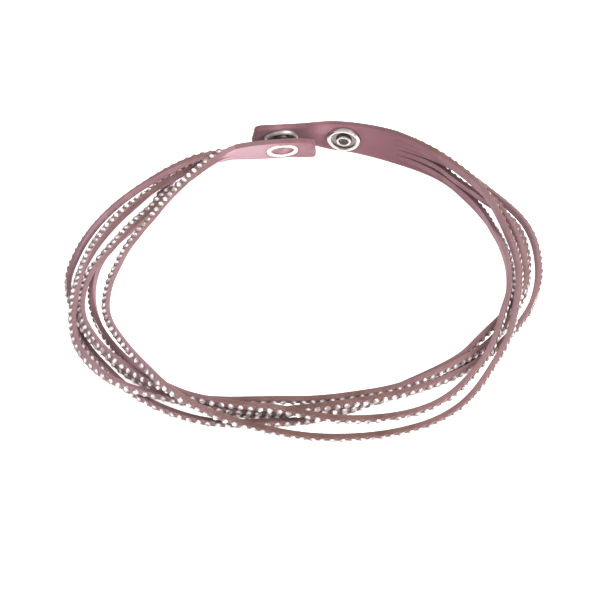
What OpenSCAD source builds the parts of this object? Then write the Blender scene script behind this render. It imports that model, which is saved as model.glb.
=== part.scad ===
/* [Strap] */
// Width of the solid tabs, mm
strap_w = 12; // [10:0.5:14]
// Thickness of the suede-like strap, mm
strap_t = 1.4; // [1:0.1:2]
// Radius of the tabs' rounded end corners, mm
tab_corner_r = 2; // [0.5:0.5:4]

/* [Strands] */
// Spacing of the six slit strands across the strap, mm
strand_pitch = 2; // [1.6:0.1:2.4]
// Width of one strand, mm
strand_w = 1.8; // [1.4:0.1:2]
// Thickness of one strand, mm
strand_t = 1.3; // [1:0.1:1.8]
// Gap left where a strand meets a tab, mm
root_gap = 0.05; // [0.02:0.01:0.2]

/* [Loop] */
// Half of the loop's width, left to right, mm
loop_x = 57.5; // [50:0.5:65]
// Half of the loop's depth, front to back, mm
loop_y = 55.5; // [48:0.5:63]
// Shift that puts the outline's middle on the origin, left to right, mm
shift_x = -0.1; // [-3:0.05:3]
// Shift that puts the outline's middle on the origin, front to back, mm
shift_y = -1.6; // [-3:0.05:3]

/* [Crystals] */
// Diameter of a crystal at its base, mm
crystal_d = 1.7; // [1.2:0.1:1.8]
// Diameter of a crystal's flat table, mm
table_d = 1; // [0.6:0.1:1.4]
// Height of a crystal, mm
crystal_h = 0.5; // [0.3:0.05:0.8]
// Straight edge below the crown facets, mm
girdle_h = 0.15; // [0.1:0.05:0.2]
// Spacing of the crystals along a strand, mm
crystal_pitch = 2.4; // [2:0.1:3.5]
// Bare length at each end of a strand, mm
bare_end = 5; // [1:0.5:8]

/* [Snaps] */
// Diameter of a socket's rim, mm
socket_d = 9.6; // [8:0.1:11]
// Height of a socket above its seat, mm
socket_h = 1.5; // [1.4:0.1:2.2]
// Diameter of a socket's bore, mm
socket_bore_d = 2.8; // [2.4:0.1:3.6]
// Diameter of the stud's flange and of the prong rings, mm
ring_d = 9.2; // [8:0.1:11]
// Inner diameter of a prong ring, mm
ring_hole_d = 6.2; // [5:0.1:7]
// Height of a prong ring above its seat, mm
ring_h = 0.5; // [0.3:0.1:1.2]
// Height of the stud's flange above its seat, mm
stud_flange_h = 1; // [0.6:0.1:1]
// Radial clearance of the stud in its socket, mm
stud_clear = 0.06; // [0.03:0.01:0.15]
// Depth of the flat seats pressed into the tabs, mm
seat_depth = 0.2; // [0.1:0.05:0.4]
// Distance between the middles of the two tabs at the closed snap, mm
tab_spacing = 4.4; // [4.4:0.1:6]
// Number of prongs that pass through the strap
prong_count = 5; // [3:1:6]
// Diameter of a prong, mm
prong_d = 0.8; // [0.5:0.1:1]

/* [Hidden] */

// Columns of every route: degrees round the loop, mm out from the base oval,
// mm above the ground, degrees of lean (top outwards is positive)
PLACE = 0;
OUT = 1;
HEIGHT = 2;
LEAN = 3;

// Where the slits begin and end, degrees round the loop
slit_start = 110;
slit_end = 425;
// Where the snaps sit, degrees round the loop
closed_place = 96.5;
spare_place = 79.5;
// Degrees between the sections of a strand and of a tab
strand_step = 3.5;
tab_step = 2;
// Degrees round the loop that one millimetre of strap takes up
degrees_per_mm = 1;
// Degrees each way over which a direction is measured
reach = 0.5;
// Play between a part and its seat or hole, mm
play = 0.05;
// Film of glue under a crystal, mm
glue_gap = 0.1;
// Thickness of a socket's floor, and the space left above it by the stud, mm
socket_floor = 0.3;
stud_tip_gap = 0.2;

// Inner tab, from its free end to where the slits begin
inner_tab_route = [
  [87, -1.4, 5.4, -34],
  [93, -1.2, 5.45, -33.5],
  [100, -1.1, 5.45, -33.5],
  [105, -0.6, 5.4, -35],
  [110, 0.4, 5.2, -39],
];
// Outer tab, from where the slits end to its free end
outer_tab_route = [
  [65, 3.4, 6.2, -9],
  [71, 3.5, 6.4, -11],
  [77, 3.4, 6.7, -14],
  [83, 3, 7.1, -18],
  [91, 2.65, 7.8, -32.5],
  [98, 2.5, 7.93, -33.5],
  [104, 2.8, 8.1, -33],
];
// Strand 1: top slot at both tabs; outermost at the upper left, under the others in front
strand_1_rows = [
  [113, -2.8, 8.85, -43],
  [116, -3.4, 8.5, -64],
  [120, -3.9, 7.85, -84],
  [125, -5.1, 7.15, -92],
  [132, -7.2, 6.8, -95],
  [140, -9, 6.7, -95],
  [150, -10.5, 6.6, -90],
  [160, -10.5, 6.5, -82],
  [168, -9.7, 6.4, -74],
  [178, -8.4, 6.3, -64],
  [188, -6.2, 6.2, -54],
  [200, -3.7, 6.2, -46],
  [215, -2.6, 6.8, -35],
  [226, -1, 7.4, -25],
  [235, 1, 7.2, -10],
  [245, 1.4, 5, 5],
  [258, 0.8, 2.6, 15],
  [275, 2.2, 1.35, 22],
  [298, 4.6, 1.4, 22],
  [308, 4.7, 2.6, 15],
  [322, 1.9, 5, 12],
  [332, 0.4, 6.2, 12],
  [345, -1.6, 6.8, 12],
  [362, -1.8, 6.6, 12],
  [375, -1.6, 6.8, 14],
  [388, -0.9, 9, 10],
  [394, -0.2, 9.65, 5],
  [404, 0.5, 10.3, 0],
  [413, 1.4, 10.8, -5],
];
// Strand 2: second slot; innermost on the left, crosses over to be the lowest in front
strand_2_rows = [
  [113, -1.4, 7.35, -38],
  [117, -1.1, 7.5, -32],
  [121, -0.9, 7.8, -22],
  [126, -1, 7.9, -10],
  [131, -1.1, 7.8, 0],
  [140, -0.5, 7, 20],
  [150, 0.9, 6, 30],
  [162, 2.3, 5.2, 32],
  [172, 3.4, 4.6, 22],
  [182, 4.3, 3.9, 0],
  [192, 3.4, 3.3, -18],
  [206, 1.7, 3.2, -20],
  [212, 0.8, 2.8, -15],
  [217, 0, 1.5, -8],
  [222, -0.8, 1, -5],
  [234, -2.4, 1, 0],
  [250, -3.9, 1.1, 5],
  [263, -5.6, 1.15, 6],
  [269, -6, 2.8, 5],
  [279, -5.6, 2.95, 5],
  [288, -6.7, 2.9, 5],
  [297, -8.4, 2.9, 5],
  [308, -8.6, 2.9, 5],
  [323, -7.3, 2.9, 8],
  [329, -6.5, 4.1, 8],
  [335, -5.4, 4.7, 6],
  [346, -2.7, 4.8, 3],
  [358, 0.1, 4.2, 12],
  [366, 0.6, 4.7, 12],
  [376, 1, 5.9, 14],
  [385, 1, 7, 12],
  [394, 0.9, 7.65, 6],
  [404, 1.5, 8.35, 0],
  [414, 2.3, 8.95, -5],
];
// Strand 3: third slot; outermost at the lower left and on the right
strand_3_rows = [
  [113, 0, 5.75, -39],
  [118, -0.6, 5.3, -36],
  [125, -1.7, 5.4, -26],
  [134, -2.2, 5.3, -24],
  [140, -2.4, 5.35, -52],
  [146, -2.2, 5.6, -76],
  [152, -1.8, 5.75, -90],
  [160, -1.2, 5.85, -95],
  [168, -0.5, 6, -91],
  [177, 0.4, 6.35, -80],
  [187, 2, 6.6, -64],
  [193, 3.4, 6.4, -52],
  [199, 5.1, 5.6, -42],
  [208, 6.7, 4.4, -30],
  [220, 5.6, 3.6, -15],
  [235, 0.3, 3.2, 0],
  [248, -2.6, 3.1, 5],
  [262, -4.6, 3.3, 5],
  [270, -4.6, 4.8, 5],
  [284, -5.1, 5.05, 5],
  [300, -4.4, 4.5, 5],
  [318, -2.8, 3.6, 5],
  [335, -1, 2.8, 10],
  [350, 1.8, 2.4, 12],
  [365, 4.4, 3.05, 24],
  [380, 5.85, 4.25, 30],
  [395, 4, 5.65, 22],
  [404, 3.5, 6.6, 6],
  [413, 3.3, 7.05, -5],
];
// Strand 4: fourth slot; the top strand in front
strand_4_rows = [
  [113, 1.4, 4.45, -39],
  [118, 2.05, 4.7, -36],
  [124, 1.7, 3.8, -28],
  [132, -0.6, 2.4, -10],
  [142, -4.2, 1.6, 5],
  [153, -4.9, 1.6, 12],
  [164, -3.5, 2.2, 20],
  [175, -2.4, 2.8, 23],
  [195, -1.6, 3.3, 20],
  [214, -1.8, 3.5, 8],
  [222, -2.2, 3, 0],
  [233, -2.8, 3, 5],
  [242, -3.7, 3.1, 10],
  [248, -4.7, 3.8, 12],
  [255, -5.4, 5.1, 16],
  [262, -6.3, 5.6, 20],
  [270, -7.4, 5, 17],
  [284, -7.5, 5.1, 12],
  [295, -6.9, 4.9, 8],
  [308, -6.4, 4.6, 5],
  [320, -5.5, 3.9, 5],
  [328, -4.6, 3, 5],
  [346, -2.1, 2.8, 3],
  [354, -0.7, 2, 6],
  [362, 0.9, 1.8, 10],
  [372, 2.6, 2.9, 10],
  [380, 3.35, 3.8, 10],
  [387, 2.4, 4.5, 8],
  [394, 1, 5, 5],
  [404, 1.4, 4.75, -2],
  [413, 2.9, 5.15, -6],
];
// Strand 5: fifth slot; the middle strand in front, innermost on the right
strand_5_rows = [
  [113, 2.4, 2.7, -39],
  [118, 1.2, 2.05, -35],
  [124, -1.7, 2.62, -36],
  [130, -4.1, 3.82, -60],
  [136, -5.1, 4.5, -78],
  [146, -6.5, 4.6, -88],
  [156, -6.1, 4.7, -85],
  [168, -4.9, 5, -75],
  [180, -1.3, 5, -58],
  [190, 1.1, 4.8, -46],
  [199, 2.3, 5.4, -38],
  [206, 2.2, 5.5, -32],
  [213, 1.7, 5.3, -25],
  [222, 0.6, 5.1, -12],
  [232, -0.3, 5.05, -5],
  [243, -1.5, 5.4, 0],
  [255, -2.6, 5.8, 8],
  [264, -2.8, 5.9, 12],
  [280, 0.9, 5.6, 18],
  [300, 3.5, 5.6, 14],
  [318, 0.4, 6.4, 12],
  [338, -3.7, 6.85, 2],
  [349, -4.1, 6.75, 3],
  [360, -4.3, 6.3, 9],
  [372, -4.1, 5.6, 12],
  [382, -3.1, 4.2, 10],
  [392, -0.8, 3, 4],
  [402, 0.9, 2.85, -2],
  [412, 2.5, 3.1, -6],
];
// Strand 6: bottom slot; lies on the ground nearly all the way round
strand_6_rows = [
  [113, 3.75, 1.25, -38],
  [118, 4.2, 1.3, -32],
  [128, 3.4, 1.15, -18],
  [142, 1.2, 1, 0],
  [155, 0.8, 0.95, 0],
  [168, 1.4, 0.95, 0],
  [180, 2.4, 1, -5],
  [192, 3.3, 1.1, -15],
  [202, 3.5, 1.1, -18],
  [214, 2.8, 1.1, -15],
  [228, 2.8, 1, 0],
  [245, 1.2, 0.95, 3],
  [258, -2.2, 0.95, 2],
  [266, -3.6, 0.95, 1],
  [273, -4.8, 0.95, 0],
  [282, -6.9, 0.95, 0],
  [292, -8.2, 0.95, 0],
  [304, -7.4, 0.95, 0],
  [320, -5.3, 0.97, 3],
  [332, -4.5, 1, 6],
  [346, -4, 1, 8],
  [360, -3.4, 1, 8],
  [375, -1.9, 1, 6],
  [388, -0.6, 0.97, 2],
  [400, 1.2, 1, -3],
  [411, 3.4, 1.1, -8],
];

strand_rows = [strand_1_rows, strand_2_rows, strand_3_rows, strand_4_rows, strand_5_rows, strand_6_rows];

// Distance of a strand's slot from the strap's middle, strand 1 at the top
function slot(i) = (3.5 - i) * strand_pitch;

// The row at which a strand leaves a tab
function root_row(row, place, i) = [
  place,
  row[OUT] + slot(i) * sin(row[LEAN]),
  row[HEIGHT] + slot(i) * cos(row[LEAN]),
  row[LEAN]
];

function strand_route(i) = concat(
  [root_row(inner_tab_route[len(inner_tab_route) - 1], slit_start, i)],
  strand_rows[i - 1],
  [root_row(outer_tab_route[0], slit_end, i)]
);

// Smooth curve through the rows of a route
function row_index(route, p, i = 0) =
  (i >= len(route) - 2 || p < route[i + 1][PLACE]) ? i : row_index(route, p, i + 1);

function row_slope(route, i) =
  let (a = route[max(i - 1, 0)], b = route[min(i + 1, len(route) - 1)])
  (b - a) / (b[PLACE] - a[PLACE]);

function row_at(route, p) =
  let (
    i = row_index(route, p),
    step = route[i + 1][PLACE] - route[i][PLACE],
    u = (p - route[i][PLACE]) / step
  )
  (2 * u ^ 3 - 3 * u ^ 2 + 1) * route[i]
  + (u ^ 3 - 2 * u ^ 2 + u) * step * row_slope(route, i)
  + (3 * u ^ 2 - 2 * u ^ 3) * route[i + 1]
  + (u ^ 3 - u ^ 2) * step * row_slope(route, i + 1);

// Middle of the strap at a place on its route
function spot(route, p) =
  let (row = row_at(route, p))
  [(loop_x + row[OUT]) * cos(p) + shift_x, (loop_y + row[OUT]) * sin(p) + shift_y, row[HEIGHT]];

function unit(v) = v / norm(v);

// Directions at a place: along the strap, across its width, and out of its outer face
function along(route, p) =
  let (first = route[0][PLACE], last = route[len(route) - 1][PLACE])
  unit(spot(route, min(p + reach, last)) - spot(route, max(p - reach, first)));

function level_out(route, p) = let (a = along(route, p)) unit([a.y, -a.x, 0]);

function level_up(route, p) = cross(level_out(route, p), along(route, p));

function across(route, p) =
  let (lean = row_at(route, p)[LEAN])
  cos(lean) * level_up(route, p) + sin(lean) * level_out(route, p);

function outward(route, p) =
  let (lean = row_at(route, p)[LEAN])
  cos(lean) * level_out(route, p) - sin(lean) * level_up(route, p);

// Corners of the strap's section at a place
function section(route, p, w, t) =
  let (c = spot(route, p), side = across(route, p) * w / 2, face = outward(route, p) * t / 2)
  [c - side - face, c + side - face, c + side + face, c - side + face];

// Flat-sided strip through a list of four-cornered sections
module strip(sections) {
  count = len(sections);
  points = [for (s = sections) for (q = s) q];
  walls = [
    for (i = [0:count - 2]) for (k = [0:3])
      let (a = 4 * i + k, b = 4 * i + (k + 1) % 4)
      each [[a, a + 4, b], [b, a + 4, b + 4]]
  ];
  last = 4 * (count - 1);
  ends = [[0, 1, 2], [0, 2, 3], [last, last + 2, last + 1], [last, last + 3, last + 2]];
  polyhedron(points = points, faces = concat(walls, ends), convexity = 12);
}

// Frame of a part on the strap: x along it, y across it, z out of its outer face
module on_route(route, p) {
  c = spot(route, p);
  x = along(route, p);
  y = across(route, p);
  z = outward(route, p);
  multmatrix([
    [x.x, y.x, z.x, c.x],
    [x.y, y.y, z.y, c.y],
    [x.z, y.z, z.z, c.z],
    [0, 0, 0, 1]
  ]) children();
}

// Frame of the closed snap's two halves, and of the spare socket
module at_closed() {
  on_route(inner_tab_route, closed_place) children();
}

module at_spare() {
  on_route(outer_tab_route, spare_place) children();
}

// Sections of a tab; its free end is rounded at the corners
corner_steps = [0:22.5:90];
corner_span = tab_corner_r * degrees_per_mm;

function corner_width(a) = strap_w - 2 * tab_corner_r * (1 - sin(a));

function corner_inset(a) = corner_span * (1 - cos(a));

function tab_sections(route, free, root) =
  let (way = sign(root - free), plain = abs(root - free) - corner_span, steps = round(plain / tab_step))
  concat(
    [for (a = corner_steps) section(route, free + way * corner_inset(a), corner_width(a), strap_t)],
    [for (k = [1:steps])
      section(route, free + way * (corner_span + plain * k / steps), strap_w, strap_t)]
  );

function reversed(list) = [for (i = [len(list) - 1:-1:0]) list[i]];

// Flat seat and prong holes of one snap part, cut from the strap's outer side
module snap_cut(seat_d) {
  translate([0, 0, strap_t / 2 - seat_depth])
    cylinder(h = strap_t, d = seat_d + 2 * play, $fn = 64);
}

module prong_circle() {
  for (k = [0:prong_count - 1])
    rotate([0, 0, 90 + 360 * k / prong_count])
      translate([(ring_d + ring_hole_d) / 4, 0, 0])
        children();
}

module prong_holes() {
  prong_circle()
    translate([0, 0, -strap_t])
      cylinder(h = 2 * strap_t, d = prong_d + 4 * play, $fn = 24);
}

module inner_tab() {
  color("thistle")
    difference() {
      strip(tab_sections(inner_tab_route, inner_tab_route[0][PLACE], slit_start));
      at_closed() {
        snap_cut(ring_d);
        mirror([0, 0, 1]) snap_cut(ring_d);
        prong_holes();
      }
    }
}

module outer_tab() {
  last = len(outer_tab_route) - 1;
  color("rosybrown")
    difference() {
      strip(reversed(tab_sections(outer_tab_route, outer_tab_route[last][PLACE], slit_end - 360)));
      at_closed()
        translate([0, 0, tab_spacing]) {
          snap_cut(ring_d);
          mirror([0, 0, 1]) snap_cut(socket_d);
          prong_holes();
        }
      at_spare() {
        snap_cut(ring_d);
        mirror([0, 0, 1]) snap_cut(socket_d);
        prong_holes();
      }
    }
}

// Section of a strand where it leaves a tab: in the tab's own frame, a small gap off its end
function root_section(tab_route, p, i, way) =
  let (
    y = across(tab_route, p),
    c = spot(tab_route, p) + way * root_gap * along(tab_route, p) + slot(i) * y,
    side = y * strand_w / 2,
    face = outward(tab_route, p) * strand_t / 2
  )
  [c - side - face, c + side - face, c + side + face, c - side + face];

module strand(i) {
  route = strand_route(i);
  steps = round((slit_end - slit_start) / strand_step);
  color("rosybrown")
    strip(concat(
      [root_section(inner_tab_route, slit_start, i, 1)],
      [for (k = [1:steps - 1])
        section(route, slit_start + (slit_end - slit_start) * k / steps, strand_w, strand_t)],
      [root_section(outer_tab_route, slit_end - 360, i, -1)]
    ));
}

// Length run along a strand at each measured place
function run_table(route) =
  let (places = [for (p = [slit_start:1:slit_end]) p], spots = [for (p = places) spot(route, p)])
  [for (i = 0, run = 0; i < len(places);
    run = run + (i < len(places) - 1 ? norm(spots[i + 1] - spots[i]) : 0), i = i + 1)
      [run, places[i]]];

module crystal() {
  cylinder(h = girdle_h, d = crystal_d, $fn = 8);
  translate([0, 0, girdle_h])
    cylinder(h = crystal_h - girdle_h, d1 = crystal_d, d2 = table_d, $fn = 8);
}

module crystal_row(i) {
  route = strand_route(i);
  runs = run_table(route);
  total = runs[len(runs) - 1][0];
  count = floor((total - 2 * bare_end) / crystal_pitch) + 1;
  start = (total - (count - 1) * crystal_pitch) / 2;
  color("white")
    for (k = [0:count - 1])
      on_route(route, lookup(start + k * crystal_pitch, runs))
        translate([0, 0, strand_t / 2 + glue_gap])
          crystal();
}

module strand_1() {
  strand(1);
}

module strand_2() {
  strand(2);
}

module strand_3() {
  strand(3);
}

module strand_4() {
  strand(4);
}

module strand_5() {
  strand(5);
}

module strand_6() {
  strand(6);
}

module crystal_row_1() {
  crystal_row(1);
}

module crystal_row_5() {
  crystal_row(5);
}

// Half section of a prong ring, seat side down
module ring_section() {
  mid = (ring_d + ring_hole_d) / 4;
  half = (ring_d - ring_hole_d) / 4;
  polygon([
    [mid - half, 0], [mid + half, 0], [mid + half, 0.25 * ring_h], [mid + 0.7 * half, 0.8 * ring_h],
    [mid + 0.25 * half, ring_h], [mid - 0.25 * half, ring_h], [mid - 0.7 * half, 0.8 * ring_h],
    [mid - half, 0.25 * ring_h]
  ]);
}

// Open ring whose prongs pass through the strap to the part on the other face
module prong_ring() {
  translate([0, 0, strap_t / 2 - seat_depth + play])
    rotate_extrude($fn = 96) ring_section();
  prong_circle()
    translate([0, 0, -strap_t / 2 + seat_depth + play])
      cylinder(h = strap_t - 2 * seat_depth + ring_h / 2, d = prong_d, $fn = 24);
}

// Half section of a socket, seat side down: rim, groove, collar and blind bore
module socket_section() {
  rim = socket_d / 2;
  bore = socket_bore_d / 2;
  polygon([
    [0, 0], [rim, 0], [rim, 0.4], [rim - 0.15, 1], [rim - 0.5, 1.35], [rim - 0.9, 1.35],
    [rim - 1.25, 1.1], [rim - 1.4, 0.6], [bore + 0.9, 0.6], [bore + 0.75, socket_h - 0.25],
    [bore + 0.5, socket_h], [bore + 0.15, socket_h], [bore, socket_h - 0.15], [bore, socket_floor],
    [0, socket_floor]
  ]);
}

module socket() {
  translate([0, 0, strap_t / 2 - seat_depth + play])
    rotate_extrude($fn = 96) socket_section();
}

// Half section of the stud, seat side down: domed flange and headed post
module stud_section() {
  rim = ring_d / 2;
  post = socket_bore_d / 2 - stud_clear;
  top = tab_spacing - strap_t + 2 * seat_depth - 2 * play - socket_floor - stud_tip_gap;
  polygon([
    [0, 0], [rim, 0], [rim, 0.4 * stud_flange_h], [rim - 0.3, 0.75 * stud_flange_h],
    [rim - 0.9, 0.95 * stud_flange_h], [rim - 1.4, stud_flange_h], [post - 0.25, stud_flange_h],
    [post - 0.25, top - 1.1], [post, top - 0.8], [post, top - 0.4], [post - 0.4, top], [0, top]
  ]);
}

module inner_ring() {
  color("silver") at_closed() mirror([0, 0, 1]) prong_ring();
}

module stud() {
  color("silver")
    at_closed()
      translate([0, 0, strap_t / 2 - seat_depth + play])
        rotate_extrude($fn = 96) stud_section();
}

module closed_socket() {
  color("silver") at_closed() translate([0, 0, tab_spacing]) mirror([0, 0, 1]) socket();
}

module spare_socket() {
  color("silver") at_spare() mirror([0, 0, 1]) socket();
}

module back_ring() {
  color("silver") at_closed() translate([0, 0, tab_spacing]) prong_ring();
}

module spare_back_ring() {
  color("silver") at_spare() prong_ring();
}

inner_tab();
outer_tab();
strand_1();
strand_2();
strand_3();
strand_4();
strand_5();
strand_6();
crystal_row_1();
crystal_row_5();
inner_ring();
stud();
closed_socket();
spare_socket();
back_ring();
spare_back_ring();
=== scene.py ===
"""Wrap bracelet of mauve suede, laid in one loop.

The strap is one flat strip that is slit into six narrow strands between two solid tabs. Each
strand carries a row of small clear crystals on its outer face. A ring snap closes the tabs, and a
spare socket sits beside it. Lengths in the tables and in the pieces' fields are millimetres, and
the meshes are in metres.
"""

import logging
import math
import random
from dataclasses import dataclass
from enum import Enum

import bpy
from bpy.types import Material, Node, NodeSocket, Object
from mathutils import Matrix, Vector


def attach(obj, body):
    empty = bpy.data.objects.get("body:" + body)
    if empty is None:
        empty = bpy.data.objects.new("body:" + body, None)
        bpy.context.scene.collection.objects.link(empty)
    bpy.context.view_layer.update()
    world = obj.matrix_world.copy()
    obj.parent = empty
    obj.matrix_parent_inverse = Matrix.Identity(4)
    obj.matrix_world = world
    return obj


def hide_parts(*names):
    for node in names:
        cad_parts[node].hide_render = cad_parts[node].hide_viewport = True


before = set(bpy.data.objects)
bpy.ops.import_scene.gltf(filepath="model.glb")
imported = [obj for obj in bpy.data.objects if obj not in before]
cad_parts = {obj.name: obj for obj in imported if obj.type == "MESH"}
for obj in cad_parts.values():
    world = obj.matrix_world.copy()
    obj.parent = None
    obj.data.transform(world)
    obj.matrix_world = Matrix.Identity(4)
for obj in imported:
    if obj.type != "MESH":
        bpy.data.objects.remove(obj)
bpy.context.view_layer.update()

LOG = logging.getLogger("bracelet")
MM = 0.001

Row = tuple[float, float, float, float]
Rows = tuple[Row, ...]
Pairs = tuple[tuple[float, float], ...]
Colour = tuple[float, float, float]
Stops = tuple[tuple[float, Colour], ...]

# Half of the base oval's width and depth
LOOP_X = 57.5
LOOP_Y = 55.5
# Shift that puts the outline's middle on the origin
SHIFT = Vector((-0.1, -1.6, 0.0))

# Degrees round the loop at which the slits begin and end
SLIT_START = 110.0
SLIT_END = 425.0
# The slits' end as the outer tab's own table gives it, a full turn earlier
OUTER_ROOT = SLIT_END - 360.0
# Degrees round the loop at which the snaps sit
CLOSED_PLACE = 96.5
SPARE_PLACE = 79.5

# Thickness of the strap, and thickness and spacing of the strands
STRAP_THICKNESS = 1.4
STRAND_THICKNESS = 1.3
STRAND_PITCH = 2.0

# Degrees each way over which a route's direction is measured
REACH = 0.5
# Share below which a place counts as the root itself
AT_ROOT = 0.0001
# Decimals to which two places are told apart
PLACE_DIGITS = 4
# Least upward part of the normal of a level face
LEVEL = 0.99

# Columns of every route: degrees round the loop, mm out from the base oval,
# mm above the ground, degrees of lean (top outwards is positive)
INNER_TAB_ROWS: Rows = (
    (87, -1.4, 5.4, -34),
    (93, -1.2, 5.45, -33.5),
    (100, -1.1, 5.45, -33.5),
    (105, -0.6, 5.4, -35),
    (110, 0.4, 5.2, -39),
)
OUTER_TAB_ROWS: Rows = (
    (65, 3.4, 6.2, -9),
    (71, 3.5, 6.4, -11),
    (77, 3.4, 6.7, -14),
    (83, 3, 7.1, -18),
    (91, 2.65, 7.8, -32.5),
    (98, 2.5, 7.93, -33.5),
    (104, 2.8, 8.1, -33),
)
STRAND_1: Rows = (
    (113, -2.8, 8.85, -43),
    (116, -3.4, 8.5, -64),
    (120, -3.9, 7.85, -84),
    (125, -5.1, 7.15, -92),
    (132, -7.2, 6.8, -95),
    (140, -9, 6.7, -95),
    (150, -10.5, 6.6, -90),
    (160, -10.5, 6.5, -82),
    (168, -9.7, 6.4, -74),
    (178, -8.4, 6.3, -64),
    (188, -6.2, 6.2, -54),
    (200, -3.7, 6.2, -46),
    (215, -2.6, 6.8, -35),
    (226, -1, 7.4, -25),
    (235, 1, 7.2, -10),
    (245, 1.4, 5, 5),
    (258, 0.8, 2.6, 15),
    (275, 2.2, 1.35, 22),
    (298, 4.6, 1.4, 22),
    (308, 4.7, 2.6, 15),
    (322, 1.9, 5, 12),
    (332, 0.4, 6.2, 12),
    (345, -1.6, 6.8, 12),
    (362, -1.8, 6.6, 12),
    (375, -1.6, 6.8, 14),
    (388, -0.9, 9, 10),
    (394, -0.2, 9.65, 5),
    (404, 0.5, 10.3, 0),
    (413, 1.4, 10.8, -5),
)
STRAND_2: Rows = (
    (113, -1.4, 7.35, -38),
    (117, -1.1, 7.5, -32),
    (121, -0.9, 7.8, -22),
    (126, -1, 7.9, -10),
    (131, -1.1, 7.8, 0),
    (140, -0.5, 7, 20),
    (150, 0.9, 6, 30),
    (162, 2.3, 5.2, 32),
    (172, 3.4, 4.6, 22),
    (182, 4.3, 3.9, 0),
    (192, 3.4, 3.3, -18),
    (206, 1.7, 3.2, -20),
    (212, 0.8, 2.8, -15),
    (217, 0, 1.5, -8),
    (222, -0.8, 1, -5),
    (234, -2.4, 1, 0),
    (250, -3.9, 1.1, 5),
    (263, -5.6, 1.15, 6),
    (269, -6, 2.8, 5),
    (279, -5.6, 2.95, 5),
    (288, -6.7, 2.9, 5),
    (297, -8.4, 2.9, 5),
    (308, -8.6, 2.9, 5),
    (323, -7.3, 2.9, 8),
    (329, -6.5, 4.1, 8),
    (335, -5.4, 4.7, 6),
    (346, -2.7, 4.8, 3),
    (358, 0.1, 4.2, 12),
    (366, 0.6, 4.7, 12),
    (376, 1, 5.9, 14),
    (385, 1, 7, 12),
    (394, 0.9, 7.65, 6),
    (404, 1.5, 8.35, 0),
    (414, 2.3, 8.95, -5),
)
STRAND_3: Rows = (
    (113, 0, 5.75, -39),
    (118, -0.6, 5.3, -36),
    (125, -1.7, 5.4, -26),
    (134, -2.2, 5.3, -24),
    (140, -2.4, 5.35, -52),
    (146, -2.2, 5.6, -76),
    (152, -1.8, 5.75, -90),
    (160, -1.2, 5.85, -95),
    (168, -0.5, 6, -91),
    (177, 0.4, 6.35, -80),
    (187, 2, 6.6, -64),
    (193, 3.4, 6.4, -52),
    (199, 5.1, 5.6, -42),
    (208, 6.7, 4.4, -30),
    (220, 5.6, 3.6, -15),
    (235, 0.3, 3.2, 0),
    (248, -2.6, 3.1, 5),
    (262, -4.6, 3.3, 5),
    (270, -4.6, 4.8, 5),
    (284, -5.1, 5.05, 5),
    (300, -4.4, 4.5, 5),
    (318, -2.8, 3.6, 5),
    (335, -1, 2.8, 10),
    (350, 1.8, 2.4, 12),
    (365, 4.4, 3.05, 24),
    (380, 5.85, 4.25, 30),
    (395, 4, 5.65, 22),
    (404, 3.5, 6.6, 6),
    (413, 3.3, 7.05, -5),
)
STRAND_4: Rows = (
    (113, 1.4, 4.45, -39),
    (118, 2.05, 4.7, -36),
    (124, 1.7, 3.8, -28),
    (132, -0.6, 2.4, -10),
    (142, -4.2, 1.6, 5),
    (153, -4.9, 1.6, 12),
    (164, -3.5, 2.2, 20),
    (175, -2.4, 2.8, 23),
    (195, -1.6, 3.3, 20),
    (214, -1.8, 3.5, 8),
    (222, -2.2, 3, 0),
    (233, -2.8, 3, 5),
    (242, -3.7, 3.1, 10),
    (248, -4.7, 3.8, 12),
    (255, -5.4, 5.1, 16),
    (262, -6.3, 5.6, 20),
    (270, -7.4, 5, 17),
    (284, -7.5, 5.1, 12),
    (295, -6.9, 4.9, 8),
    (308, -6.4, 4.6, 5),
    (320, -5.5, 3.9, 5),
    (328, -4.6, 3, 5),
    (346, -2.1, 2.8, 3),
    (354, -0.7, 2, 6),
    (362, 0.9, 1.8, 10),
    (372, 2.6, 2.9, 10),
    (380, 3.35, 3.8, 10),
    (387, 2.4, 4.5, 8),
    (394, 1, 5, 5),
    (404, 1.4, 4.75, -2),
    (413, 2.9, 5.15, -6),
)
STRAND_5: Rows = (
    (113, 2.4, 2.7, -39),
    (118, 1.2, 2.05, -35),
    (124, -1.7, 2.62, -36),
    (130, -4.1, 3.82, -60),
    (136, -5.1, 4.5, -78),
    (146, -6.5, 4.6, -88),
    (156, -6.1, 4.7, -85),
    (168, -4.9, 5, -75),
    (180, -1.3, 5, -58),
    (190, 1.1, 4.8, -46),
    (199, 2.3, 5.4, -38),
    (206, 2.2, 5.5, -32),
    (213, 1.7, 5.3, -25),
    (222, 0.6, 5.1, -12),
    (232, -0.3, 5.05, -5),
    (243, -1.5, 5.4, 0),
    (255, -2.6, 5.8, 8),
    (264, -2.8, 5.9, 12),
    (280, 0.9, 5.6, 18),
    (300, 3.5, 5.6, 14),
    (318, 0.4, 6.4, 12),
    (338, -3.7, 6.85, 2),
    (349, -4.1, 6.75, 3),
    (360, -4.3, 6.3, 9),
    (372, -4.1, 5.6, 12),
    (382, -3.1, 4.2, 10),
    (392, -0.8, 3, 4),
    (402, 0.9, 2.85, -2),
    (412, 2.5, 3.1, -6),
)
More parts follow.
